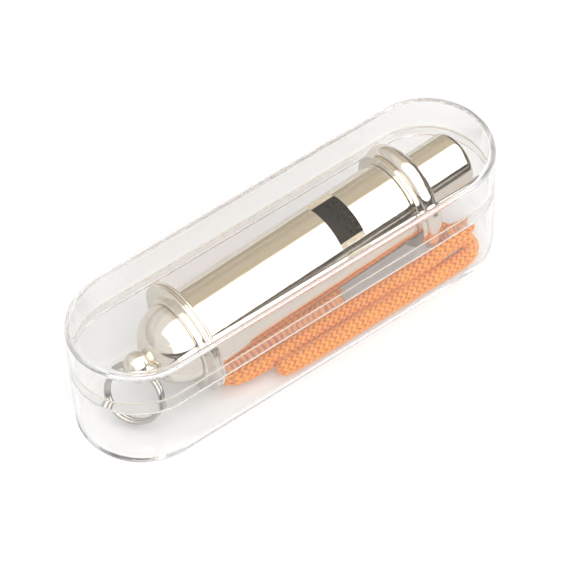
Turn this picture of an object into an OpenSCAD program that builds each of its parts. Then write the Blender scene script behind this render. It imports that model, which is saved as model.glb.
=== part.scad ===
// Cased survival whistle: a plated tube whistle with two air chambers, a split ring in its
// end knob and a folded knitted cord, lying in its clear two-part storage case.
// Millimetres. Origin: centre of the case's underside. +X to the mouth end, +Z up.

/* [Storage case] */
// Room for the cap, knob and ring between the cap flange and the case's end wall
cap_room = 22.3;             // [21:0.1:30]
// Gap between the mouth end and the case's other end wall
mouth_room = 3;              // [1:0.1:8]
// Gap between the whistle's widest rim and the case's side walls
side_gap = 0.2;              // [0.1:0.1:3]
// Gap between the whistle's highest rim and the case's top
top_gap = 0.4;               // [0.2:0.1:4]
// Thickness of the case's walls, floor and top
case_wall = 1.1;             // [0.8:0.1:1.2]
// Height of the shoulder that the lid's rim sits on
seam_height = 15.5;          // [14:0.5:18]
// How far the base's thin rim reaches up inside the lid
rim_overlap = 2.6;           // [1.5:0.1:4]
// Clearance between the base's rim and the lid's skirt, each side
lid_clearance = 0.1;         // [0.05:0.05:0.2]
// Rounding of the lid's top edge
lid_rounding = 0.8;          // [0.5:0.1:3]
// Rounding of the base's bottom edge
base_rounding = 0.9;         // [0.4:0.1:1.5]

/* [Whistle] */
// Outer diameter of the barrel tube
barrel_diameter = 16.2;      // [14:0.1:16.6]
// Wall of the barrel tube
barrel_wall = 0.8;           // [0.5:0.1:1.2]
// Distance from the cap flange's outer face to the mouth end
whistle_length = 67.9;       // [64:0.1:69]
// Length of the mouth end, from the collar's lip to its tip
mouth_length = 17;           // [14:0.1:20]
// Diameter of the double flange at the cap
flange_diameter = 22.4;      // [19:0.1:22.6]
// Width of the double flange
flange_width = 1.8;          // [1.4:0.1:2.2]
// Diameter of the collar's bead
collar_diameter = 21;        // [18:0.1:21.4]
// Width of the collar's bead
bead_width = 4.1;            // [3:0.1:5]
// Width of the thin lip beside the bead
lip_width = 1;               // [0.6:0.1:1.4]
// Diameter of the lip
lip_diameter = 19.8;         // [18:0.1:20]
// Outer diameter of the mouthpiece
mouth_diameter = 11.8;       // [10:0.1:12.4]
// Rounding of the mouthpiece's end
mouth_rounding = 1.5;        // [0.6:0.1:2]
// Width of the blowing slot
slot_width = 8.4;            // [6:0.1:8.6]
// Height of the blowing slot
slot_height = 3.4;           // [2.4:0.1:4]
// Wall of the mouthpiece tube
mouth_wall = 0.9;            // [0.6:0.1:1.2]

/* [Sound windows] */
// Distance from the window's blade edge to the collar's lip
window_reach = 16.7;         // [15:0.1:20]
// Length of each window along the barrel
window_length = 5.6;         // [4.6:0.1:7]
// How deep each window is cut into the barrel
window_depth = 2.6;          // [1.6:0.1:3]
// Thickness of the plate between the two air chambers
plate_thickness = 0.8;       // [0.5:0.1:1.2]
// Height of each air channel that feeds a window
channel_height = 2;          // [1.2:0.1:2.6]
// Length of the open space between the mouthpiece and the air channels
plenum_length = 2.5;         // [1:0.5:4]
// Thickness of the discs that close the two air chambers at the cap end
stop_thickness = 0.8;        // [0.5:0.1:1.2]
// How much shorter the lower chamber is than the upper one
chamber_step = 6;            // [3:0.5:12]

/* [Cap, knob and ring] */
// How far the domed cap stands back from the barrel's surface
dome_step = 0.4;             // [0.2:0.1:1]
// Wall of the domed cap
dome_wall = 0.9;             // [0.6:0.1:1.4]
// Diameter of the knob's ball
knob_diameter = 5.4;         // [4.8:0.1:6]
// Diameter of the neck between dome and ball
neck_diameter = 3.4;         // [2.6:0.1:4]
// Distance from the dome's tip to the ball's centre
knob_reach = 2.2;            // [1.8:0.1:3]
// Diameter of the hole through the ball
knob_hole = 2.7;             // [2.6:0.1:3]
// Diameter of the split ring, measured on its wire's middle
ring_diameter = 11.2;        // [9.6:0.1:11.4]
// Diameter of the split ring's wire
wire_diameter = 1;           // [0.8:0.05:1]
// Least gap between the hanging ring's lower edge and the case's floor
ring_gap = 0.05;             // [0.05:0.05:1]
// Turn of the ring towards the viewer, in degrees
ring_turn = 30;              // [0:5:35]

/* [Cord] */
// Thickness of the folded knitted cord, pressed a little flat between floor and whistle
cord_thickness = 2.8;        // [2:0.1:2.9]
// Height of the doubled turn at the mouth end
turn_height = 6.3;           // [4:0.1:6.6]
// Gap between the cord and the case's walls
cord_gap = 0.3;              // [0.2:0.1:0.6]

/* [How the whistle lies] */
// Tilt of the whistle up towards its mouth end, in degrees
lie_tilt = 2.4;              // [1.6:0.1:2.6]
// Turn of the whistle seen from above, in degrees
lie_turn = 0.6;              // [0:0.1:1]
// Roll of the windows towards the viewer, in degrees
lie_roll = 8;                // [0:1:12]
// Distance of the cap flange's centre from the middle plane
lie_offset = 1;              // [0.6:0.1:1]
// Gap between the flange and the case's floor
lie_gap = 0.15;              // [0.05:0.05:0.3]

/* [Hidden] */
$fn = 96;

eps = 0.01;
seat = 0.05;                                 // gap left where two pieces are soldered or rest

barrel_r = barrel_diameter / 2;
bore_r = barrel_r - barrel_wall;
flange_r = flange_diameter / 2;
collar_r = collar_diameter / 2;
lip_r = lip_diameter / 2;
mouth_r = mouth_diameter / 2;
dome_r = barrel_r - dome_step;
foot_width = 0.8;                            // foot ring between the dome and the flange
collar_place = whistle_length - mouth_length;
bead_start = collar_place + lip_width;
bead_end = bead_start + bead_width;
window_place = collar_place - window_reach;
window_end = window_place + window_length;
block_half = bore_r - channel_height;        // half height of the windway block
stop_place = flange_width + 0.4;             // where the chambers' plate and upper stop begin
knob_x = -foot_width - dome_r - knob_reach + 0.4;
wire_r = wire_diameter / 2;

// How far the lying whistle reaches to the side and up, at the flange or at the collar
rim_r = max(collar_r, lip_r);
side_reach = lie_offset + max(flange_r, rim_r + bead_end * sin(lie_turn));
lie_z = case_wall + lie_gap + flange_r;
top_reach = lie_z + max(flange_r, rim_r + bead_end * sin(lie_tilt));

// The case is as large as the whistle asks, its height rounded up to a tenth of a millimetre
inner_r = side_reach + side_gap;
case_r = inner_r + case_wall;
case_length = whistle_length + cap_room + mouth_room + 2 * case_wall;
case_height = ceil(10 * (top_reach + top_gap + case_wall)) / 10;
case_half = case_length / 2 - case_r;        // from the middle to the centre of a round end
skirt = (case_wall - lid_clearance) / 2;     // thickness of the lid's skirt and of the rim
rim_top = seam_height + rim_overlap;
top_inside = case_height - case_wall;
lie_x = case_wall + cap_room - case_length / 2;

// The ring hangs as low as the floor lets it, in whole degrees below level
knob_z = lie_z + knob_x * sin(lie_tilt);
ring_fall = knob_z - case_wall - ring_gap - 1.4 * wire_r;
ring_drop = floor(asin(min(1, ring_fall / ring_diameter)));

// Half of an upright section, with its lower edge rounded by f0 and its upper edge by f1
module half_section(r, z0, z1, f0, f1) {
    translate([0, z0 + f0]) square([r, z1 - z0 - f0 - f1]);
    if (f0 > 0) {
        translate([0, z0]) square([r - f0, 2 * f0]);
        translate([r - f0, z0 + f0]) circle(r = f0);
    }
    if (f1 > 0) {
        translate([0, z1 - 2 * f1]) square([r - f1, 2 * f1]);
        translate([r - f1, z1 - f1]) circle(r = f1);
    }
}

// Solid with a stadium outline of end radius r, from z0 to z1, its edges rounded if asked
module stadium(r, z0, z1, f0 = 0, f1 = 0) {
    translate([-case_half, 0, 0]) rotate([90, 0, 90]) linear_extrude(2 * case_half) {
        half_section(r, z0, z1, f0, f1);
        mirror([1, 0]) half_section(r, z0, z1, f0, f1);
    }
    for (side = [-1, 1])
        translate([side * case_half, 0, 0]) rotate([0, 0, -90 * side])
            rotate_extrude(angle = 180) half_section(r, z0, z1, f0, f1);
}

// Puts a piece drawn along X from the cap flange's outer face where the whistle lies
module lie() {
    translate([lie_x, lie_offset, lie_z])
        rotate([0, -lie_tilt, lie_turn])
            rotate([lie_roll, 0, 0]) children();
}

// Cylinder along X from station a to station b
module rod(r, a, b) {
    translate([a, 0, 0]) rotate([0, 90, 0]) cylinder(r = r, h = b - a);
}

// Disc along X from a to b with both rims rounded by f
module bead(r, a, b, f) {
    rod(r - f, a, b);
    rod(r, a + f, b - f);
    for (x = [a + f, b - f])
        translate([x, 0, 0]) rotate([0, 90, 0])
            rotate_extrude() translate([r - f, 0]) circle(r = f);
}

// Tray of the case, with the thin rim that the lid slides over
module case_base() {
    color([0.9, 0.93, 0.95, 0.35]) difference() {
        union() {
            stadium(case_r, 0, seam_height, f0 = base_rounding);
            stadium(inner_r + skirt, seam_height - eps, rim_top);
        }
        stadium(inner_r, case_wall, rim_top + 1);
    }
}

// Lid of the case, with its skirt cut back to pass over the base's rim
module case_lid() {
    color([0.92, 0.95, 0.97, 0.35]) difference() {
        stadium(case_r, seam_height + seat, case_height, f1 = lid_rounding);
        stadium(inner_r, seam_height - 1, top_inside, f1 = lid_rounding / 2);
        stadium(case_r - skirt, seam_height - 1, rim_top + lid_clearance);
    }
}

// Barrel tube with a sound window through its wall above and below
module barrel() {
    color("gainsboro") lie() difference() {
        rod(barrel_r, flange_width + seat, collar_place - seat);
        rod(bore_r, 0, collar_place + 1);
        for (side = [-1, 1])
            translate([window_place, -barrel_r, side * (barrel_r - window_depth / 2) - window_depth / 2 - eps])
                cube([window_length, 2 * barrel_r, window_depth + 2 * eps]);
    }
}

// Block that fills the bore beside the windows and leaves a flat channel above and below
module windway_block() {
    block_end = collar_place - plenum_length;
    color("silver") lie() intersection() {
        rod(bore_r - seat, window_end + seat, block_end);
        translate([window_end, -barrel_r, -block_half])
            cube([block_end - window_end, 2 * barrel_r, 2 * block_half]);
    }
}

// Plate along the bore that parts the upper air chamber from the lower
module chamber_plate() {
    color("lightgray") lie() intersection() {
        rod(bore_r - seat, stop_place, window_end);
        translate([stop_place, -barrel_r, -plate_thickness / 2])
            cube([window_end - stop_place, 2 * barrel_r, plate_thickness]);
    }
}

// Half disc that closes one chamber at station a, above the plate or below it
module stop(a, side) {
    color("silver") lie() difference() {
        rod(bore_r - seat, a, a + stop_thickness);
        translate([a - 1, -barrel_r, -barrel_r + side * (seat + plate_thickness / 2 - barrel_r)])
            cube([stop_thickness + 2, 2 * barrel_r, 2 * barrel_r]);
    }
}

// Closed end of the upper chamber
module upper_stop() {
    stop(stop_place, 1);
}

// Closed end of the lower chamber, further in, which gives it the higher tone
module lower_stop() {
    stop(stop_place + chamber_step, -1);
}

// Mouthpiece tube with a rounded end and a flat blowing slot
module mouthpiece() {
    color("gainsboro") lie() difference() {
        union() {
            rod(mouth_r, bead_start + seat, whistle_length - mouth_rounding);
            bead(mouth_r, whistle_length - 3 * mouth_rounding, whistle_length, mouth_rounding);
        }
        rod(mouth_r - mouth_wall, bead_start, whistle_length - 3 * mouth_rounding);
        blowing_slot();
    }
}

// Flat slot with round ends through the mouth end
module blowing_slot() {
    rounding = slot_height / 2;
    for (side = [-1, 1])
        translate([0, side * (slot_width / 2 - rounding), 0])
            rod(rounding, whistle_length - 4 * mouth_rounding, whistle_length + 1);
    translate([whistle_length - 4 * mouth_rounding, rounding - slot_width / 2, -rounding])
        cube([4 * mouth_rounding + 1, slot_width - slot_height, slot_height]);
}

// Collar that joins mouthpiece and barrel: a lip, and a bead with rounded edges
module mouth_collar() {
    color("silver") lie() difference() {
        union() {
            rod(lip_r, collar_place, bead_start + 1);
            bead(collar_r, bead_start, bead_end, 1.3);
        }
        rod(bore_r, collar_place - 1, bead_start);
        rod(mouth_r + seat, bead_start - eps, bead_end + 1);
    }
}

// Flange between cap and barrel: two ridges with a groove, and a foot for the dome
module cap_flange() {
    ridge = flange_width * 0.4;
    color("silver") lie() difference() {
        union() {
            bead(flange_r, 0, ridge, 0.25);
            rod(flange_r - 0.6, ridge / 2, flange_width - ridge / 2);
            bead(flange_r, flange_width - ridge, flange_width, 0.25);
            rod(dome_r + 0.9, -foot_width, ridge / 2);
        }
        rod(bore_r, -foot_width - 1, flange_width + 1);
    }
}

// Hollow domed cap with its neck and drilled ball, turned in one piece
module end_cap() {
    color("gainsboro") lie() difference() {
        rotate([0, 90, 0]) rotate_extrude() intersection() {
            cap_outline();
            translate([0, -60]) square([60, 120]);
        }
        knob_drill();
    }
}

// Section of the cap: hollow dome, neck and ball, with its axis along Y
module cap_outline() {
    difference() {
        intersection() {
            translate([0, -foot_width]) circle(r = dome_r);
            translate([-dome_r, -foot_width - dome_r]) square([2 * dome_r, dome_r - seat]);
        }
        translate([0, -foot_width]) circle(r = dome_r - dome_wall);
    }
    translate([-neck_diameter / 2, knob_x])
        square([neck_diameter, -foot_width - dome_r + dome_wall / 2 - knob_x]);
    translate([0, knob_x]) circle(r = knob_diameter / 2);
}

// Hole through the ball, level and turned like the ring that hangs in it
module knob_drill() {
    translate([knob_x, 0, 0])
        rotate([-lie_roll, 0, 0]) rotate([0, lie_tilt, 0]) rotate([0, 0, ring_turn - lie_turn])
            rotate([90, 0, 0]) cylinder(r = knob_hole / 2, h = knob_diameter + 1, center = true);
}

// Middle of the knob's ball in the part's own frame, where the ring hangs
knob_at = [lie_x + knob_x * cos(lie_tilt) * cos(lie_turn),
           lie_offset + knob_x * cos(lie_tilt) * sin(lie_turn),
           knob_z];

// Split ring: two turns of wire side by side, hanging from the ball with its far edge low
module split_ring() {
    color("silver") translate(knob_at)
        rotate([0, 0, ring_turn]) rotate([0, -ring_drop, 0])
            translate([-ring_diameter / 2, 0, 0])
                for (side = [-1, 1])
                    translate([0, 0, side * wire_r * 0.9])
                        rotate_extrude() translate([ring_diameter / 2, 0]) circle(r = wire_r, $fn = 32);
}

// Bar of height h with round ends, lying between two end points
module bar(a, b, r, h) {
    run = b - a;
    translate([a[0], a[1], 0]) rotate([0, 0, atan2(run[1], run[0])]) {
        translate([0, -r, 0]) cube([norm(run), 2 * r, h]);
        cylinder(r = r, h = h);
        translate([norm(run), 0, 0]) cylinder(r = r, h = h);
    }
}

cord_floor = case_wall + 0.2;                // underside of the folded cord
near = cord_gap - inner_r;                   // side of the cord that faces the near wall
far = inner_r - cord_gap;                    // side of the cord that faces the far wall

// Half widths of the cord's rows: two strands lie side by side in a row, one in a crossing
wall_half = 3.3;
inner_half = 3.5;
turn_half = 2.7;
far_half = 4;
strand_half = 1.9;
left_half = 2;

// Middle lines of the cord's rows on the floor, each from its left or near end
wall_row = [[-7.8, near + wall_half], [34.5, near + wall_half]];
inner_row = [[-16.6, near + 7.8], [30, near + 7.8]];
raised_turn = [[31, near + turn_half], [35.4, near + turn_half]];
free_end = [[30, near + 7.8], [41.6, near + 7.8]];
far_row = [[-15.7, far - far_half], [29, far - far_half]];
left_crossing = [[10.5, near + 13.7], [10.5, far - far_half]];
right_crossing = [[35.2, near + 12], [35.2, far - 7]];
corner_run = [[35.2, far - 7], [30, far - far_half]];

// Outer shape of the cord's folds along the near wall, with the turn at the mouth end
module near_folds() {
    color("orange") translate([0, 0, cord_floor]) {
        bar(wall_row[0], wall_row[1], wall_half, cord_thickness);
        bar(inner_row[0], inner_row[1], inner_half, cord_thickness);
        bar(raised_turn[0], raised_turn[1], turn_half, turn_height);
        bar(free_end[0], free_end[1], strand_half, cord_thickness);
    }
}

// Outer shape of the cord's folds along the far wall, which pass under the whistle twice
module far_folds() {
    color("darkorange") translate([0, 0, cord_floor]) {
        bar(far_row[0], far_row[1], far_half, cord_thickness);
        bar(left_crossing[0], left_crossing[1], left_half, cord_thickness);
        bar(right_crossing[0], right_crossing[1], strand_half, cord_thickness);
        bar(corner_run[0], corner_run[1], strand_half, cord_thickness);
    }
}

case_base();
case_lid();
barrel();
windway_block();
chamber_plate();
upper_stop();
lower_stop();
mouthpiece();
mouth_collar();
cap_flange();
end_cap();
split_ring();
near_folds();
far_folds();
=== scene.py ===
# %% [markdown]
# # A tube whistle in its clear case
#
# The object is a nickel-plated tube whistle that lies with its folded orange cord in a clear
# plastic case. Four things make or break the picture: mirror-bright turned metal, a studio for
# that metal to reflect, clear walls that bend what is behind them, and a knitted cord whose
# stitches can be counted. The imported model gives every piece's place, so each one is modelled
# where it belongs, in metres, and nothing is fitted afterwards.

# %% Load the fixed frame and set up the tools
import math

import bpy
import numpy as np
from mathutils import Matrix, Vector


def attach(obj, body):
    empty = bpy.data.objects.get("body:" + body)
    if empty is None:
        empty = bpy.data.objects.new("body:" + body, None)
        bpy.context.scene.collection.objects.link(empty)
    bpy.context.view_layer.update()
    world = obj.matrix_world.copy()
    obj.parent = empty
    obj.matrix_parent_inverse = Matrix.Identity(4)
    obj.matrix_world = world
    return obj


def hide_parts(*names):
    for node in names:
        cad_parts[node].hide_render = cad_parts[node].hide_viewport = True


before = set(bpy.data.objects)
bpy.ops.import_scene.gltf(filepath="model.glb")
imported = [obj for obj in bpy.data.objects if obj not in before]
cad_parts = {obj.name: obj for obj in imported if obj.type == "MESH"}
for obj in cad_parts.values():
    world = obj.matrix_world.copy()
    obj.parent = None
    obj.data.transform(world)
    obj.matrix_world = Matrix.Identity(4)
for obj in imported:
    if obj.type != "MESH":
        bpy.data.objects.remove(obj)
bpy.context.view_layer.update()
MM = 0.001
print("nodes:", sorted(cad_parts))


def clear_selection():
    """Deselects everything, because an operator acts on all that is selected."""
    if bpy.context.object and bpy.context.object.mode != "OBJECT":
        bpy.ops.object.mode_set(mode="OBJECT")
    bpy.ops.object.select_all(action="DESELECT")


def make_active(piece):
    """Selects one object alone and makes it the active one."""
    clear_selection()
    piece.select_set(True)
    bpy.context.view_layer.objects.active = piece


clear_selection()

# %% [markdown]
# ## The camera
#
# The photo looks down on the case from the front left, from far away through a long lens, so
# that the long sides stay almost parallel. Direction, distance, focal length and roll were
# found by fitting the case's two seam lines and its base outline. The shift only places the
# case in the picture.

# %% Camera
PICTURE = 580
SENSOR = 36.0
FOCAL_PIXELS = 3061.0
CAMERA_DISTANCE = 0.5972
azimuth = math.radians(-35.41)
elevation = math.radians(51.40)
roll = math.radians(-2.43)
CASE_CENTRE_AT = (288.1, 319.8)

away = Vector((
    math.sin(azimuth) * math.cos(elevation),
    -math.cos(azimuth) * math.cos(elevation),
    math.sin(elevation),
))
level = Vector((math.cos(azimuth), math.sin(azimuth), 0.0))
upward = away.cross(level)
side_axis = math.cos(roll) * level + math.sin(roll) * upward
top_axis = -math.sin(roll) * level + math.cos(roll) * upward

lens = bpy.data.cameras.new("camera")
lens.sensor_width = SENSOR
lens.lens = FOCAL_PIXELS * SENSOR / PICTURE
lens.shift_x = (PICTURE / 2 - CASE_CENTRE_AT[0]) / PICTURE
lens.shift_y = (CASE_CENTRE_AT[1] - PICTURE / 2) / PICTURE
lens.clip_start = 0.01
camera = bpy.data.objects.new("camera", lens)
bpy.context.scene.collection.objects.link(camera)
turn = Matrix((side_axis, top_axis, away)).transposed().to_4x4()
camera.matrix_world = Matrix.Translation(away * CAMERA_DISTANCE) @ turn
bpy.context.scene.camera = camera
bpy.context.scene.view_settings.view_transform = "Standard"
print("lens", round(lens.lens, 1), "mm, shift", round(lens.shift_x, 4), round(lens.shift_y, 4))

# %% [markdown]
# ## Shader maths as Python
#
# A material is a small network of nodes. Written node by node it is hard to read, so one class
# wraps a socket and turns `a * b + 0.2` into Math nodes, and one method makes any other node.

# %% Shader helper


class Field:
    """A value that changes over a surface. Arithmetic on it adds Math nodes."""

    def __init__(self, nodes, socket):
        self.nodes = nodes
        self.socket = socket

    def math(self, operation, *others):
        return self.nodes.add("ShaderNodeMath", {"operation": operation}, [self, *others])

    def __add__(self, other):
        return self.math("ADD", other)

    def __sub__(self, other):
        return self.math("SUBTRACT", other)

    def __mul__(self, other):
        return self.math("MULTIPLY", other)

    def __rsub__(self, other):
        return self.nodes.add("ShaderNodeMath", {"operation": "SUBTRACT"}, [other, self])

    __radd__ = __add__
    __rmul__ = __mul__


class Nodes:
    """The node tree of one material or of the world."""

    def __init__(self, owner):
        owner.use_nodes = True
        self.tree = owner.node_tree
        self.tree.nodes.clear()

    def add(self, kind, settings=None, inputs=None, out=0):
        """Adds a node: settings first, then the values or links of its sockets."""
        made = self.tree.nodes.new(kind)
        for name, value in (settings or {}).items():
            setattr(made, name, value)
        pairs = enumerate(inputs) if isinstance(inputs, (list, tuple)) else (inputs or {}).items()
        for key, value in pairs:
            if isinstance(value, Field):
                self.tree.links.new(value.socket, made.inputs[key])
            elif value is not None:
                made.inputs[key].default_value = value
        return Field(self, made.outputs[out]) if made.outputs else made

    def ramp(self, value, start, end, first=0.0, last=1.0, smooth=False):
        """Runs from first to last while value runs from start to end, and stays level outside."""
        settings = {"interpolation_type": "SMOOTHSTEP" if smooth else "LINEAR"}
        ends = {0: value, 1: start, 2: end, 3: first, 4: last}
        return self.add("ShaderNodeMapRange", settings, ends)

    def mix_colours(self, factor, first, second):
        """A colour between two others."""
        settings = {"data_type": "RGBA", "clamp_factor": True}
        return self.add("ShaderNodeMix", settings, {0: factor, 6: first, 7: second}, out=2)

    def beyond_metal(self):
        """1 for a mirrored ray that passed no face of the walls or more than two, else 0.

        A ray off the metal in the closed case has passed more than two. One off bare metal has
        passed none, and so has one off the case's outer face, which this cannot tell apart.
        """
        ray = self.tree.nodes.new("ShaderNodeLightPath")
        bounced = Field(self, ray.outputs["Glossy Depth"]).math("GREATER_THAN", 0.5)
        one_wall = Field(self, ray.outputs["Transmission Depth"]).math("COMPARE", 1.5, 0.9)
        return bounced * (1.0 - one_wall)

    def surface(self, shader):
        """Ends the tree in a material output."""
        self.add("ShaderNodeOutputMaterial", None, {"Surface": shader})


def new_material(name):
    """A material with an empty node tree."""
    material = bpy.data.materials.new(name)
    return material, Nodes(material)


def wear(piece, material):
    """Gives a piece one material."""
    piece.data.materials.clear()
    piece.data.materials.append(material)


# %% [markdown]
# ## The studio
#
# Bright metal shows nothing but what stands round it. The photo's tube has a wide white
# highlight, a narrow black band below it, and an even warm grey on its far side. Real photo
# studios make these with cards and boxes. Here the world paints them as rings round the X axis:
# an angle of 0 is straight up, and a positive one leans to the front.
#
# The light that falls on the object is a plain soft box in an even room. What metal mirrors is
# set apart by a mask: a brighter box, a dark card in front, a dark card at the mouth end, a
# warm strip behind and a brighter left end. Reflections in the clear walls get a dimmer room, so
# that they do not veil the cord. Seen straight by the camera the world is plain white.

# %% World
SOFT_BOX = 1.68
MIRRORED_BOX = 2.6
ROOM = 0.76
WARM = (0.985, 0.88, 0.68, 1)
BOX_LEANS, BOX_LEAN_BLUR = (-12, 74), 7
BOX_ENDS, BOX_END_BLUR = (-0.65, 0.85), 0.06
BEHIND, BEHIND_BLUR, BEHIND_DIMMER = (-112, -62), 25, 0.25
FRONT_CARD, FRONT_CARD_BLUR = (79, 112), 3
END_CARD_FROM, END_CARD_BELOW = (0.58, 0.66), (0.48, 0.54)
CARD_DARKNESS = 0.97
LEFT_END, LEFT_BRIGHTER = (0.0, 0.25), 0.4
WARM_LEANS = (-20.0, -8.0)
WALL_DIMMER = 0.65

world = bpy.data.worlds.new("studio")
bpy.context.scene.world = world
w = Nodes(world)
direction = w.add("ShaderNodeTexCoord")
parts = w.add("ShaderNodeSeparateXYZ", None, [direction]).socket.node
sky_x, sky_y, sky_z = (Field(w, parts.outputs[k]) for k in range(3))
lean = (sky_y * -1.0).math("ARCTAN2", sky_z) * (180 / math.pi)


def between(value, low, high, blur):
    """1 where value lies from low to high and 0 outside, with soft edges."""
    rise = w.ramp(value, low - blur, low, smooth=True)
    fall = w.ramp(value, high, high + blur, 1.0, 0.0, smooth=True)
    return rise * fall


box = between(lean, *BOX_LEANS, BOX_LEAN_BLUR) * between(sky_x, *BOX_ENDS, BOX_END_BLUR)
behind = between(lean, *BEHIND, BEHIND_BLUR)
ray = w.add("ShaderNodeLightPath").socket.node
mirrored = w.beyond_metal()
end_card = w.ramp(sky_x, *END_CARD_FROM) * w.ramp(sky_z, *END_CARD_BELOW, 1.0, 0.0)
front_card = between(lean, *FRONT_CARD, FRONT_CARD_BLUR)
cards = end_card.math("MAXIMUM", front_card) * mirrored
off_wall = Field(w, ray.outputs["Is Glossy Ray"])
off_wall = off_wall * (1.0 - Field(w, ray.outputs["Is Transmission Ray"])) * (1.0 - mirrored)
left = w.ramp(sky_x, *LEFT_END, 1.0, 0.0)
glow = (behind * -BEHIND_DIMMER + 1.0) * (left * mirrored * LEFT_BRIGHTER + 1.0)
glow = glow * (1.0 - off_wall * WALL_DIMMER) * ROOM
box_level = mirrored * (MIRRORED_BOX - SOFT_BOX) + (SOFT_BOX - ROOM)
light = (glow + box * box_level) * (1.0 - cards * CARD_DARKNESS)
warm = w.ramp(lean, *WARM_LEANS, 1.0, 0.0) * mirrored * (1.0 - left)
seen = Field(w, ray.outputs["Is Camera Ray"])
strength = w.add("ShaderNodeMix", {"data_type": "FLOAT"}, {0: seen, 2: light, 3: 1.0})
tone = w.mix_colours(warm, (1, 1, 1, 1), WARM)
sky = w.add("ShaderNodeBackground", None, {"Color": tone, "Strength": strength})
w.add("ShaderNodeOutputWorld", None, {"Surface": sky})
print("soft box from", BOX_LEANS, "degrees")

# %% [markdown]
# The floor is a white sheet that keeps the object's shadow. The same mask makes it greyer in
# the metal and puts a dark strip on it there, which is the lower half of the tube's black band.
# In the clear walls' own reflections the sheet is a faint even glow, so that they stay clear.

# %% Floor
FLOOR_SIZE = 3.0
FLOOR_DROP = 0.0001
CARD_NEAR, CARD_FAR = 0.087, 0.45
CARD_NEAR_BLUR, CARD_FAR_BLUR = 0.004, 0.1
CARD_SLANT, CARD_TURN_X = 0.88, 0.018
CARD_GREY = (0.02, 0.02, 0.02, 1)
SHEET = 0.88
MIRRORED_SHEET = 0.6
WHITE_SHARE, WHITE_LEVEL = 0.05, 1.3
VEIL = 0.12

bpy.ops.mesh.primitive_plane_add(size=FLOOR_SIZE, location=(0, 0, -FLOOR_DROP))
floor = bpy.context.object
floor.name = "floor"
floor_paint, f = new_material("white_sheet")
spot = f.add("ShaderNodeTexCoord", None, None, out=3)
parts = f.add("ShaderNodeSeparateXYZ", None, [spot]).socket.node
floor_x, floor_y = Field(f, parts.outputs[0]), Field(f, parts.outputs[1])
near_edge = (floor_x - CARD_TURN_X).math("MAXIMUM", 0.0) * CARD_SLANT
reach = floor_y * -1.0 + near_edge
past_near = f.ramp(reach, CARD_NEAR, CARD_NEAR + CARD_NEAR_BLUR, smooth=True)
past_far = f.ramp(reach, CARD_FAR, CARD_FAR + CARD_FAR_BLUR, 1.0, 0.0, smooth=True)
ray = f.add("ShaderNodeLightPath").socket.node
mirrored = f.beyond_metal()
dark = mirrored * past_near * past_far
white = f.mix_colours(mirrored, (SHEET, SHEET, SHEET, 1), (SHEET * MIRRORED_SHEET,) * 3 + (1,))
paint = f.mix_colours(dark, white, CARD_GREY)
sheet = f.add("ShaderNodeBsdfDiffuse", None, {"Color": paint})
plain = f.add("ShaderNodeEmission", None, {"Color": paint, "Strength": WHITE_LEVEL})
passed = Field(f, ray.outputs["Is Transmission Ray"])
glossy = Field(f, ray.outputs["Is Glossy Ray"])
watched = Field(f, ray.outputs["Is Camera Ray"]).math("MAXIMUM", glossy)
seen_floor = f.add("ShaderNodeMixShader", None, {0: watched * WHITE_SHARE, 1: sheet, 2: plain})
veil = f.add("ShaderNodeEmission", None, {"Color": (1, 1, 1, 1), "Strength": VEIL})
off_wall = glossy * (1.0 - passed) * (1.0 - mirrored)
f.surface(f.add("ShaderNodeMixShader", None, {0: off_wall, 1: seen_floor, 2: veil}))
wear(floor, floor_paint)
print("floor", FLOOR_SIZE, "m across")

# %% [markdown]
# ## The cord
#
# It is a soft knitted tube, so it is folded flat and lies where the whistle leaves room: along
# the near wall, under the barrel, and along the far wall. The route is a list of given points,
# in millimetres. Both ends are melted shut. One smooth curve runs through the points.
# The folds are tighter than a loose cord would take by itself: it is pressed flat in the case.

# %% Cord route
CORD_WIDTH = 3.8
CORD_FLATTEN = 0.88
CORD_LOW = 2.85

ROUTE = [
    (43.0, -4.4, CORD_LOW), (40.0, -4.4, CORD_LOW), (37.2, -3.6, CORD_LOW),
    (35.6, -0.8, CORD_LOW), (35.3, 2.5, CORD_LOW), (33.5, 6.2, CORD_LOW),
    (29.5, 9.2, CORD_LOW), (24.0, 10.2, CORD_LOW), (0.0, 10.2, CORD_LOW),
    (-11.0, 10.1, CORD_LOW), (-15.6, 9.9, CORD_LOW), (-17.5, 9.35, CORD_LOW),
    (-18.3, 8.05, CORD_LOW), (-17.5, 6.75, CORD_LOW), (-15.6, 6.25, CORD_LOW),
    (-11.0, 6.1, CORD_LOW), (-3.0, 6.2, CORD_LOW),
    (5.0, 5.9, CORD_LOW), (9.3, 4.2, CORD_LOW), (10.3, 1.4, CORD_LOW),
    (9.3, -1.3, CORD_LOW), (5.0, -2.7, CORD_LOW), (-3.0, -2.6, CORD_LOW),
    (-12.0, -2.2, CORD_LOW), (-16.2, -2.3, CORD_LOW), (-18.1, -2.9, CORD_LOW),
    (-18.9, -4.25, CORD_LOW), (-18.0, -5.6, CORD_LOW), (-16.0, -6.25, CORD_LOW),
    (-12.0, -6.6, CORD_LOW), (-4.0, -6.6, CORD_LOW),
    (5.0, -6.5, 3.0), (14.0, -6.8, 3.3), (22.0, -7.3, 4.1),
    (28.0, -8.0, 5.3), (32.6, -7.9, 6.2), (35.4, -7.9, 6.1),
    (37.0, -8.3, 5.45), (37.5, -9.1, 4.5), (36.9, -9.9, 3.6),
    (35.2, -10.3, 3.05), (32.0, -10.4, CORD_LOW),
    (24.0, -10.4, CORD_LOW), (12.0, -10.4, CORD_LOW), (-4.0, -10.3, CORD_LOW),
    (-10.6, -9.8, CORD_LOW),
]


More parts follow.
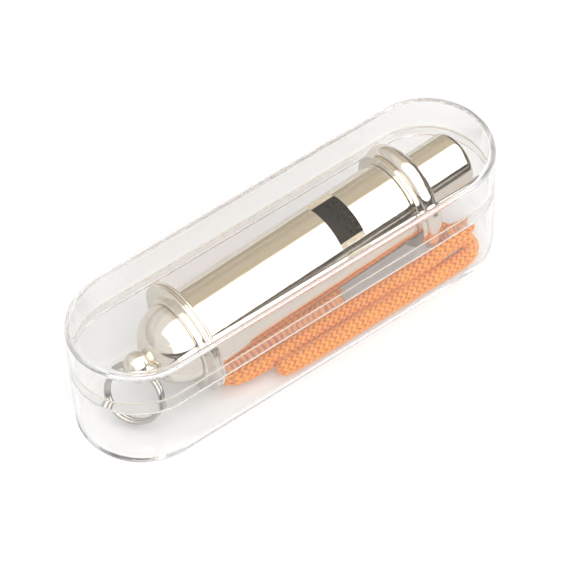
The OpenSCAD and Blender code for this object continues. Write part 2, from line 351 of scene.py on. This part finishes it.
def smooth_route(points, step):
    """Points every step along a smooth curve through the given ones (centripetal spline)."""
    ends = np.array(points, float)
    ends = np.vstack([2 * ends[0] - ends[1], ends, 2 * ends[-1] - ends[-2]])
    dense = []
    for p0, p1, p2, p3 in zip(ends, ends[1:], ends[2:], ends[3:]):
        gaps = [math.sqrt(np.linalg.norm(b - a)) for a, b in ((p0, p1), (p1, p2), (p2, p3))]
        t = np.linspace(0, gaps[1], 40, endpoint=False)[:, None]
        start = (p2 - p1) / gaps[1] - (p2 - p0) / (gaps[0] + gaps[1]) + (p1 - p0) / gaps[0]
        finish = (p3 - p2) / gaps[2] - (p3 - p1) / (gaps[1] + gaps[2]) + (p2 - p1) / gaps[1]
        start, finish = start * gaps[1], finish * gaps[1]
        s = t / gaps[1]
        dense.append(
            (2 * s**3 - 3 * s**2 + 1) * p1 + (s**3 - 2 * s**2 + s) * start
            + (3 * s**2 - 2 * s**3) * p2 + (s**3 - s**2) * finish
        )
    line = np.vstack([*dense, ends[-2][None]])
    walked = np.concatenate([[0], np.cumsum(np.linalg.norm(np.diff(line, axis=0), axis=1))])
    count = int(walked[-1] / step) + 1
    wanted = np.linspace(0, walked[-1], count)
    return np.stack([np.interp(wanted, walked, line[:, k]) for k in range(3)], axis=1), walked[-1]


cord_line, cord_length = smooth_route(ROUTE, 0.16)
print("cord", round(cord_length, 1), "mm,", len(cord_line), "rings")

# %% [markdown]
# The knit is columns of small V shapes that run along the tube. One formula gives the height of
# a stitch at any place round and along the cord: the legs of a V slope away from the column's
# middle, and a groove parts one column from the next. It moves the tube's own vertices, so the
# stitches are real geometry, and the height is kept in an attribute for the colour.

# %% Cord mesh
COLUMNS = 9
PER_COLUMN = 6
STITCH = 1.35
STITCH_HEIGHT = 0.34
V_SLOPE = 0.62


def stitch_height(around, along):
    """Height of the knit from 0 to 1; around runs 0 to 1 round the cord, along is in mm."""
    across = np.abs(2 * np.mod(around * COLUMNS, 1.0) - 1)
    turn = 2 * np.pi * (along / STITCH + V_SLOPE * across)
    leg = 0.5 + 0.5 * np.cos(turn)
    pit = np.exp(-(((1 - across) / 0.45) ** 2)) * (1 - leg) ** 1.3
    centre = np.exp(-((across / 0.18) ** 2))
    return np.clip(0.35 + 0.65 * leg**0.7 - 0.5 * pit - 0.22 * centre, 0, 1)


def knitted_tube(name, line, width):
    """A tube along line, in mm, its surface knitted, its ends melted to blunt tips."""
    around_count = COLUMNS * PER_COLUMN
    tangent = np.gradient(line, axis=0)
    tangent /= np.linalg.norm(tangent, axis=1)[:, None]
    across = np.cross(tangent, [0, 0, 1.0])
    across /= np.linalg.norm(across, axis=1)[:, None]
    rise = np.cross(across, tangent)
    along = np.concatenate([[0], np.cumsum(np.linalg.norm(np.diff(line, axis=0), axis=1))])
    around = np.arange(around_count) / around_count
    angle = 2 * np.pi * around
    height = stitch_height(around[None, :], along[:, None])
    tip = np.minimum(along, along[-1] - along) / (0.5 * width)
    tip = np.sqrt(np.clip(1 - (1 - np.clip(tip, 0, 1)) ** 2, 0.02, 1))
    radius = (width / 2 - STITCH_HEIGHT * (1 - height)) * tip[:, None]
    offset = (
        np.cos(angle)[None, :, None] * across[:, None, :]
        + np.sin(angle)[None, :, None] * rise[:, None, :]
    ) * radius[:, :, None]
    offset[:, :, 2] *= CORD_FLATTEN
    points = (line[:, None, :] + offset).reshape(-1, 3) * MM
    rings = len(line)
    faces = []
    for i in range(rings - 1):
        for j in range(around_count):
            k = (j + 1) % around_count
            a, b = i * around_count, (i + 1) * around_count
            faces.append((a + j, b + j, b + k, a + k))
    faces.append(tuple(range(around_count)))
    faces.append(tuple(reversed(range((rings - 1) * around_count, rings * around_count))))
    mesh = bpy.data.meshes.new(name)
    mesh.from_pydata(points.tolist(), [], faces)
    groove = mesh.attributes.new("stitch", "FLOAT", "POINT")
    groove.data.foreach_set("value", height.reshape(-1).astype(np.float32))
    piece = bpy.data.objects.new(name, mesh)
    bpy.context.scene.collection.objects.link(piece)
    make_active(piece)
    bpy.ops.object.mode_set(mode="EDIT")
    bpy.ops.mesh.select_all(action="SELECT")
    bpy.ops.mesh.normals_make_consistent(inside=False)
    bpy.ops.object.mode_set(mode="OBJECT")
    bpy.ops.object.shade_smooth()
    return piece


cord = knitted_tube("knitted_cord", cord_line, CORD_WIDTH)
print("cord faces", len(cord.data.polygons))

# %% [markdown]
# The yarn is a strong orange. Its colour is painted red-brown down in the grooves: painted shade.
# The stitch height that shaped the mesh is read back to tell legs from grooves, one slow noise
# makes some stitches yellower, and a very fine one is the fuzz of the fibres.

# %% Cord material
GROOVE_SHADE, LEG, YELLOWER = (0.48, 0.07, 0.002, 1), (1.0, 0.34, 0.01, 1), (1.0, 0.46, 0.025, 1)

cord_yarn, c = new_material("orange_yarn")
knit = c.add("ShaderNodeAttribute", {"attribute_name": "stitch"}, None, out=2)
spot = c.add("ShaderNodeTexCoord", None, None, out=3)
mottle = c.add("ShaderNodeTexNoise", None, {"Vector": spot, "Scale": 420.0, "Detail": 3.0})
fibre = c.add("ShaderNodeTexNoise", None, {"Vector": spot, "Scale": 9000.0, "Detail": 2.0})
# Painted shade: the yarn colour darkens to red-brown where the knit is low, in the grooves.
depth = c.ramp(knit, 0.1, 0.9, smooth=True)
yarn = c.mix_colours(depth, GROOVE_SHADE, LEG)
yarn = c.mix_colours((mottle - 0.5) * 1.2, yarn, YELLOWER)
fuzz = c.add("ShaderNodeBump", None, {"Strength": 0.5, "Distance": 0.00008, "Height": fibre})
c.surface(c.add("ShaderNodeBsdfPrincipled", None, {
    "Base Color": yarn, "Roughness": 0.75, "Normal": fuzz,
    "Sheen Weight": 0.25, "Sheen Roughness": 0.4,
}))
wear(cord, cord_yarn)
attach(cord, "root")
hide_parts("near_folds", "far_folds")

# %% [markdown]
# ## The whistle
#
# Everything on a whistle like this is turned, so each piece is half a section spun round the
# axis. The pieces are drawn along X from the outer face of the cap's flange, in millimetres,
# and then moved as one to where the whistle lies: a little nose-up, and rolled so that its
# window leans to the viewer.

# %% How the whistle lies
WHISTLE_AT = Vector((-24.3, 1.0, 12.45)) * MM
TILT, TURN, ROLL = 2.4, 0.6, 8.0

lie = (
    Matrix.Translation(WHISTLE_AT)
    @ Matrix.Rotation(math.radians(TURN), 4, "Z")
    @ Matrix.Rotation(math.radians(-TILT), 4, "Y")
    @ Matrix.Rotation(math.radians(ROLL), 4, "X")
)


def arc(centre, radius, start, end, count=10):
    """Points on an arc, as station and radius, with angles in degrees."""
    turns = [math.radians(start + (end - start) * i / count) for i in range(count + 1)]
    return [(centre[0] + radius * math.cos(a), centre[1] + radius * math.sin(a)) for a in turns]


def turned(name, outline, closed, steps=160):
    """Spins an outline of stations and radii round X. A closed outline makes a tube."""
    mesh = bpy.data.meshes.new(name)
    points = [(x * MM, 0.0, max(r, 0.0) * MM) for x, r in outline]
    edges = [(i, i + 1) for i in range(len(points) - 1)]
    if closed:
        edges.append((len(points) - 1, 0))
    mesh.from_pydata(points, edges, [])
    piece = bpy.data.objects.new(name, mesh)
    bpy.context.scene.collection.objects.link(piece)
    make_active(piece)
    bpy.ops.object.mode_set(mode="EDIT")
    bpy.ops.mesh.select_all(action="SELECT")
    bpy.ops.mesh.spin(steps=steps, angle=2 * math.pi, center=(0, 0, 0), axis=(1, 0, 0))
    bpy.ops.mesh.select_all(action="SELECT")
    bpy.ops.mesh.remove_doubles(threshold=0.000002)
    bpy.ops.mesh.normals_make_consistent(inside=False)
    bpy.ops.object.mode_set(mode="OBJECT")
    return piece


def cut(piece, cutter):
    """Takes cutter away from piece and deletes it."""
    make_active(piece)
    tool = piece.modifiers.new("cut", "BOOLEAN")
    tool.operation = "DIFFERENCE"
    tool.solver = "EXACT"
    tool.object = cutter
    bpy.ops.object.modifier_apply(modifier=tool.name)
    bpy.data.objects.remove(cutter)


def settle(piece, body="root", angle=35):
    """Moves a finished whistle piece to where it lies and shades it."""
    piece.data.transform(lie)
    make_active(piece)
    bpy.ops.object.shade_smooth_by_angle(angle=math.radians(angle))
    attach(piece, body)


# %% [markdown]
# The barrel is a thin tube. Its windows are flat cuts across the tube, one above and one below.
# The edge towards the cap is the blade that splits the air, so it stays sharp. A plain block
# takes each window away, because a cut by a block is as flat as the real punch leaves it.

# %% Barrel
BARREL_R, BARREL_WALL = 8.1, 0.8
BARREL_FROM, BARREL_TO = 1.85, 50.85
WINDOW_FROM, WINDOW_LENGTH, WINDOW_DEPTH = 34.2, 5.6, 2.6

inner = BARREL_R - BARREL_WALL
rim = 0.12
barrel_outline = [
    (BARREL_FROM, inner + rim), (BARREL_FROM + rim, inner), (BARREL_TO - rim, inner),
    (BARREL_TO, inner + rim), (BARREL_TO, BARREL_R - rim), (BARREL_TO - rim, BARREL_R),
    (BARREL_FROM + rim, BARREL_R), (BARREL_FROM, BARREL_R - rim),
]
barrel = turned("whistle_barrel", barrel_outline, True, steps=240)
for side in (1, -1):
    bpy.ops.mesh.primitive_cube_add(size=1)
    block = bpy.context.object
    block.dimensions = (WINDOW_LENGTH * MM, 2.2 * BARREL_R * MM, 2 * WINDOW_DEPTH * MM)
    block.location = ((WINDOW_FROM + WINDOW_LENGTH / 2) * MM, 0, side * BARREL_R * MM)
    bpy.ops.object.transform_apply()
    cut(barrel, block)
settle(barrel)
print("barrel faces", len(barrel.data.polygons))

# %% [markdown]
# The mouthpiece is a narrower tube whose end is rolled inwards to a round lip round a flat
# blowing slot. The collar is pressed over its root: a thin lip, a shallow groove and one fat
# bead. The flange at the cap end is two thin ridges with a groove between them.

# %% Mouthpiece, collar and flange
MOUTH_R, MOUTH_WALL, MOUTH_END = 5.9, 0.9, 67.9
MOUTH_FROM = 51.95
MOUTH_ROUND = 1.5
SLOT_W, SLOT_H = 8.4, 3.4

bore = MOUTH_R - MOUTH_WALL
mouth_outline = (
    [(MOUTH_FROM, bore), (MOUTH_FROM, MOUTH_R - 0.1), (MOUTH_FROM + 0.1, MOUTH_R)]
    + arc((MOUTH_END - MOUTH_ROUND, MOUTH_R - MOUTH_ROUND), MOUTH_ROUND, 90, 0, 12)
    + [(MOUTH_END, 0), (MOUTH_END - 4.5, 0), (MOUTH_END - 4.5, bore)]
)
mouthpiece = turned("whistle_mouthpiece", mouth_outline, True)
bpy.ops.mesh.primitive_cube_add(size=1)
slot_tool = bpy.context.object
slot_tool.dimensions = (12 * MM, SLOT_W * MM, SLOT_H * MM)
slot_tool.location = (MOUTH_END * MM, 0, 0)
bpy.ops.object.transform_apply()
rounding = slot_tool.modifiers.new("round", "BEVEL")
rounding.width = 0.48 * SLOT_H * MM
rounding.segments = 8
make_active(slot_tool)
bpy.ops.object.modifier_apply(modifier=rounding.name)
cut(mouthpiece, slot_tool)
settle(mouthpiece)

LIP_R, LIP_FROM, LIP_TO = 9.9, 50.9, 51.9
BEAD_R, BEAD_TO, BEAD_ROUND = 10.5, 56.0, 1.95
collar_outline = (
    [(LIP_FROM, inner), (LIP_FROM, LIP_R - 0.15), (LIP_FROM + 0.15, LIP_R), (LIP_TO - 0.1, LIP_R),
     (LIP_TO, LIP_R - 0.3)]
    + arc((LIP_TO + BEAD_ROUND, BEAD_R - BEAD_ROUND), BEAD_ROUND, 165, 90, 12)
    + arc((BEAD_TO - BEAD_ROUND, BEAD_R - BEAD_ROUND), BEAD_ROUND, 90, 0, 14)
    + [(BEAD_TO, MOUTH_R + 0.05), (LIP_TO, MOUTH_R + 0.05), (LIP_TO, inner)]
)
collar = turned("whistle_collar", collar_outline, True)
settle(collar)

FLANGE_R, FLANGE_W, FOOT_W, FOOT_R = 11.2, 1.8, 0.8, 8.6
ridge = 0.36 * FLANGE_W
flange_outline = (
    [(-FOOT_W, inner), (-FOOT_W, FOOT_R - 0.2), (-FOOT_W + 0.2, FOOT_R), (0, FOOT_R)]
    + arc((ridge / 2, FLANGE_R - ridge / 2), ridge / 2, 180, 20, 8)
    + [(ridge, FLANGE_R - 0.55), (FLANGE_W - ridge, FLANGE_R - 0.55)]
    + arc((FLANGE_W - ridge / 2, FLANGE_R - ridge / 2), ridge / 2, 160, 0, 8)
    + [(FLANGE_W, inner)]
)
flange = turned("whistle_flange", flange_outline, True)
settle(flange)

# %% [markdown]
# The cap is a dome spun from sheet, with a short neck and a ball drilled through for the ring.
# The hole is level and turned the way the ring hangs.

# %% Cap
DOME_R, DOME_WALL = 7.7, 0.9
NECK_R, BALL_R, BALL_AT = 1.7, 2.7, -10.3
HOLE_R, RING_TURN = 1.35, 30.0

dome_x = -FOOT_W
dome_in = DOME_R - DOME_WALL
neck_angle = math.degrees(math.asin(NECK_R / DOME_R))
ball_angle = math.degrees(math.asin(NECK_R / BALL_R))
cap_outline = (
    arc((dome_x, 0), dome_in, 180, 90.5, 30)
    + arc((dome_x, 0), DOME_R, 90.5, 180 - neck_angle, 36)
    + arc((BALL_AT, 0), BALL_R, ball_angle, 180, 24)
)
cap = turned("whistle_cap", cap_outline, False)
bpy.ops.mesh.primitive_cylinder_add(
    vertices=64, radius=HOLE_R * MM, depth=8 * MM, rotation=(math.pi / 2, 0, 0),
)
drill = bpy.context.object
bpy.ops.object.transform_apply()
ball_world = lie @ Vector((BALL_AT * MM, 0, 0))
hinge_turn = Matrix.Rotation(math.radians(RING_TURN), 4, "Z")
drill.data.transform(lie.inverted() @ Matrix.Translation(ball_world) @ hinge_turn)
cut(cap, drill)
settle(cap)
print("ball centre", [round(v / MM, 2) for v in ball_world])

# %% [markdown]
# The split ring is one wire wound twice: both turns lie side by side, and a short step joins
# them. A spiral drawn by a formula gives the wire's middle line, and a ring of points carried
# along it gives the wire.

# %% Split ring
RING_R, WIRE_R, RING_DROP = 5.6, 0.5, 65.0
STEP_SHARE = 0.14


def wound_wire(name, radius, wire, turns=2.0, per_turn=120, sides=20):
    """Two turns of wire side by side, with their flat ends apart."""
    count = int(turns * per_turn)
    centre, points = [], []
    for i in range(count + 1):
        done = i / per_turn
        ramp = min(max((done - 1 + STEP_SHARE / 2) / STEP_SHARE, 0), 1)
        shift = (ramp * ramp * (3 - 2 * ramp) - 0.5) * 1.8 * wire
        a = 2 * math.pi * done + 0.9
        centre.append(Vector((radius * math.cos(a), radius * math.sin(a), shift)))
    for i, point in enumerate(centre):
        out = Vector((point.x, point.y, 0)).normalized()
        for k in range(sides):
            t = 2 * math.pi * k / sides
            points.append(point + wire * (math.cos(t) * out + math.sin(t) * Vector((0, 0, 1))))
    faces = []
    for i in range(count):
        for k in range(sides):
            a, b, after = i * sides, (i + 1) * sides, (k + 1) % sides
            faces.append((a + k, a + after, b + after, b + k))
    faces.append(tuple(range(sides)))
    faces.append(tuple(reversed(range(count * sides, (count + 1) * sides))))
    mesh = bpy.data.meshes.new(name)
    mesh.from_pydata([p * MM for p in points], [], faces)
    piece = bpy.data.objects.new(name, mesh)
    bpy.context.scene.collection.objects.link(piece)
    make_active(piece)
    bpy.ops.object.mode_set(mode="EDIT")
    bpy.ops.mesh.select_all(action="SELECT")
    bpy.ops.mesh.normals_make_consistent(inside=False)
    bpy.ops.object.mode_set(mode="OBJECT")
    return piece


ring = wound_wire("split_ring_wire", RING_R, WIRE_R)
ring.data.transform(
    Matrix.Translation(ball_world)
    @ hinge_turn
    @ Matrix.Rotation(math.radians(-RING_DROP), 4, "Y")
    @ Matrix.Translation((-RING_R * MM, 0, 0))
)
make_active(ring)
bpy.ops.object.shade_smooth_by_angle(angle=math.radians(40))
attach(ring, "ring")

# %% [markdown]
# ## Bright nickel
#
# Plated brass is a mirror with a warm tint. What keeps it from looking like a computer's mirror
# is its surface: the tube was drawn and buffed, so reflections ripple a little, and fine haze
# and tiny pits break up their edges. A slow noise and a fine one make the ripple, and the fine
# one also changes the roughness. The chamber plate and the two stops inside are painted near
# black, which is painted shade of the barrel's inside, and one noise makes that dark uneven.

# %% Nickel materials
NICKEL = (0.79, 0.735, 0.66, 1)


def plated(name, colour, roughness, ripple):
    """Bright plate over turned metal; ripple is the height of its waves in metres."""
    material, n = new_material(name)
    spot = n.add("ShaderNodeTexCoord", None, None, out=3)
    waves = n.add("ShaderNodeTexNoise", None, {"Vector": spot, "Scale": 220.0, "Detail": 2.0})
    grain = n.add("ShaderNodeTexNoise", None, {"Vector": spot, "Scale": 1500.0, "Detail": 3.0})
    haze = n.ramp(grain, 0.35, 0.75, roughness * 0.6, roughness * 1.6)
    height = waves + grain * 0.12
    relief = n.add("ShaderNodeBump", None, {"Strength": 1.0, "Distance": ripple, "Height": height})
    tint = n.mix_colours(grain, colour, tuple(0.93 * v for v in colour[:3]) + (1,))
    n.surface(n.add("ShaderNodeBsdfPrincipled", None, {
        "Base Color": tint, "Metallic": 1.0, "Roughness": haze, "Normal": relief,
    }))
    return material


nickel = plated("bright_nickel", NICKEL, 0.07, 0.00003)
steel = plated("ring_nickel", (0.50, 0.48, 0.45, 1), 0.09, 0.00001)
# Painted shade: the plates inside the barrel are near black for the shade inside the tube, and a
# noise makes the dark uneven.
inside_shade_plate, n = new_material("inside_plate_painted_shade")
spot = n.add("ShaderNodeTexCoord", None, None, out=3)
blotch = n.add("ShaderNodeTexNoise", None, {"Vector": spot, "Scale": 300.0, "Detail": 2.0})
n.surface(n.add("ShaderNodeBsdfPrincipled", None, {
    "Base Color": n.mix_colours(blotch, (0.045, 0.035, 0.032, 1), (0.07, 0.055, 0.05, 1)),
    "Metallic": 0.3, "Roughness": 0.6,
}))

for piece, node in ((barrel, "barrel"), (mouthpiece, "mouthpiece"), (collar, "mouth_collar"),
                    (flange, "cap_flange"), (cap, "end_cap")):
    wear(piece, nickel)
    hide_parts(node)
wear(ring, steel)
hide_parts("split_ring")
block = plated("windway_plate", (0.45, 0.40, 0.33, 1), 0.3, 0.00002)
wear(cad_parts["windway_block"], block)
for name in ("chamber_plate", "upper_stop", "lower_stop"):
    wear(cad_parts[name], inside_shade_plate)

# %% [markdown]
# ## Clear plastic
#
# The case is moulded polystyrene. It bends light at both faces of each wall, which draws the
# bright and dark lines along its edges. A true glass shader would also throw a hard dark shadow
# and dim the cord inside. So the walls turn transparent for shadow rays, and for the diffuse
# rays that carry light from the room to what lies in the case.

# %% Case material
CLEAR_TINT = (0.976, 0.973, 0.968, 1)


def clear_plastic(name, roughness):
    """Clear moulded plastic that lets shadow rays and diffuse rays through."""
    material, n = new_material(name)
    body = n.add("ShaderNodeBsdfPrincipled", None, {
        "Base Color": CLEAR_TINT, "Roughness": roughness, "IOR": 1.49,
        "Transmission Weight": 1.0,
    })
    passing = n.add("ShaderNodeBsdfTransparent", None, {"Color": (1, 1, 1, 1)})
    ray = n.add("ShaderNodeLightPath").socket.node
    shadow = Field(n, ray.outputs["Is Shadow Ray"])
    diffuse = Field(n, ray.outputs["Is Diffuse Ray"])
    walls = n.add("ShaderNodeMixShader", None, {0: shadow, 1: body, 2: passing})
    n.surface(n.add("ShaderNodeMixShader", None, {0: diffuse, 1: walls, 2: passing}))
    return material


# %% [markdown]
# Both halves are swept round the same stadium outline. The profile is a list of offsets from
# the middle line and heights; its first and last loops are closed by flat faces. Every edge has
# a small round, because a clear edge shows as a thin line only where it bends light. The lid's
# top edge is rounder than the solid's, and its inner face follows round the same centre.

# %% Case meshes
CASE_R, CASE_HALF, CASE_H = 13.5, 34.2, 26.8
INNER_R, SEAM, RIM_TOP, SKIRT = 12.4, 15.5, 18.1, 0.5
LID_ROUND, BASE_ROUND, WALL = 1.4, 0.9, 1.1
EDGE = 0.1


def corner(r, z, radius, start, end, count=4):
    """A rounded corner about its own centre, as offsets and heights."""
    return arc((r, z), radius, start, end, count)


def case_shell(name, profile, arc_steps=56):
    """Sweeps a profile of offsets and heights, in mm, round the stadium outline."""
    outline = []
    for side in (1, -1):
        for i in range(arc_steps + 1):
            a = math.radians(-90 * side + 180 * i / arc_steps)
            outline.append((side * CASE_HALF, math.cos(a), math.sin(a)))
    count = len(outline)
    points = [
        ((x + r * c) * MM, r * s * MM, z * MM)
        for r, z in profile for x, c, s in outline
    ]
    faces = []
    for k in range(len(profile) - 1):
        for i in range(count):
            a, b, after = k * count, (k + 1) * count, (i + 1) % count
            faces.append((a + i, a + after, b + after, b + i))
    faces.append(tuple(range(count)))
    faces.append(tuple(range((len(profile) - 1) * count, len(profile) * count)))
    mesh = bpy.data.meshes.new(name)
    mesh.from_pydata(points, [], faces)
    piece = bpy.data.objects.new(name, mesh)
    bpy.context.scene.collection.objects.link(piece)
    make_active(piece)
    bpy.ops.object.mode_set(mode="EDIT")
    bpy.ops.mesh.select_all(action="SELECT")
    bpy.ops.mesh.normals_make_consistent(inside=False)
    bpy.ops.object.mode_set(mode="OBJECT")
    bpy.ops.object.shade_smooth_by_angle(angle=math.radians(40))
    return piece


rim_r = INNER_R + SKIRT
base_profile = (
    [(CASE_R - BASE_ROUND - 0.2, 0)]
    + corner(CASE_R - BASE_ROUND, BASE_ROUND, BASE_ROUND, -90, 0, 10)
    + [(CASE_R, BASE_ROUND + 0.1), (CASE_R, SEAM - EDGE - 0.1)]
    + corner(CASE_R - EDGE, SEAM - EDGE, EDGE, 0, 90)
    + [(rim_r, SEAM), (rim_r, RIM_TOP - EDGE - 0.1)]
    + corner(rim_r - EDGE, RIM_TOP - EDGE, EDGE, 0, 90)
    + corner(INNER_R + EDGE, RIM_TOP - EDGE, EDGE, 90, 180)
    + [(INNER_R, RIM_TOP - EDGE - 0.1), (INNER_R, WALL + 0.5)]
    + corner(INNER_R - 0.4, WALL + 0.4, 0.4, 0, -90, 6)
    + [(INNER_R - 0.6, WALL)]
)
skirt_in = CASE_R - SKIRT
inner_round = LID_ROUND - WALL
lid_profile = (
    [(CASE_R - LID_ROUND - 0.2, CASE_H)]
    + corner(CASE_R - LID_ROUND, CASE_H - LID_ROUND, LID_ROUND, 90, 0, 10)
    + [(CASE_R, CASE_H - LID_ROUND - 0.1), (CASE_R, SEAM + 0.05 + EDGE + 0.1)]
    + corner(CASE_R - EDGE, SEAM + 0.05 + EDGE, EDGE, 0, -90)
    + corner(skirt_in + EDGE, SEAM + 0.05 + EDGE, EDGE, -90, -180)
    + [(skirt_in, RIM_TOP + 0.1), (INNER_R, RIM_TOP + 0.1), (INNER_R, RIM_TOP + 0.3)]
    + [(INNER_R, CASE_H - WALL - inner_round - 0.1)]
    + corner(INNER_R - inner_round, CASE_H - WALL - inner_round, inner_round, 0, 90, 8)
    + [(INNER_R - inner_round - 0.2, CASE_H - WALL)]
)
base = case_shell("clear_base", base_profile)
lid = case_shell("clear_lid", lid_profile)
for piece, body, node in ((base, "root", "case_base"), (lid, "lid", "case_lid")):
    wear(piece, clear_plastic(piece.name, 0.01))
    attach(piece, body)
    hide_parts(node)
    print(piece.name, "faces", len(piece.data.polygons))

# %% [markdown]
# Light runs along inside a clear wall and leaves at its edge, after many small reflections. With
# the usual limit on bounces those paths end black, and so do the edges, so the limit is raised.

# %% Light bounces
BOUNCES = 64

cycles = bpy.context.scene.cycles
cycles.max_bounces = BOUNCES
cycles.transmission_bounces = BOUNCES
cycles.glossy_bounces = BOUNCES
cycles.transparent_max_bounces = BOUNCES
print("bounces", BOUNCES)
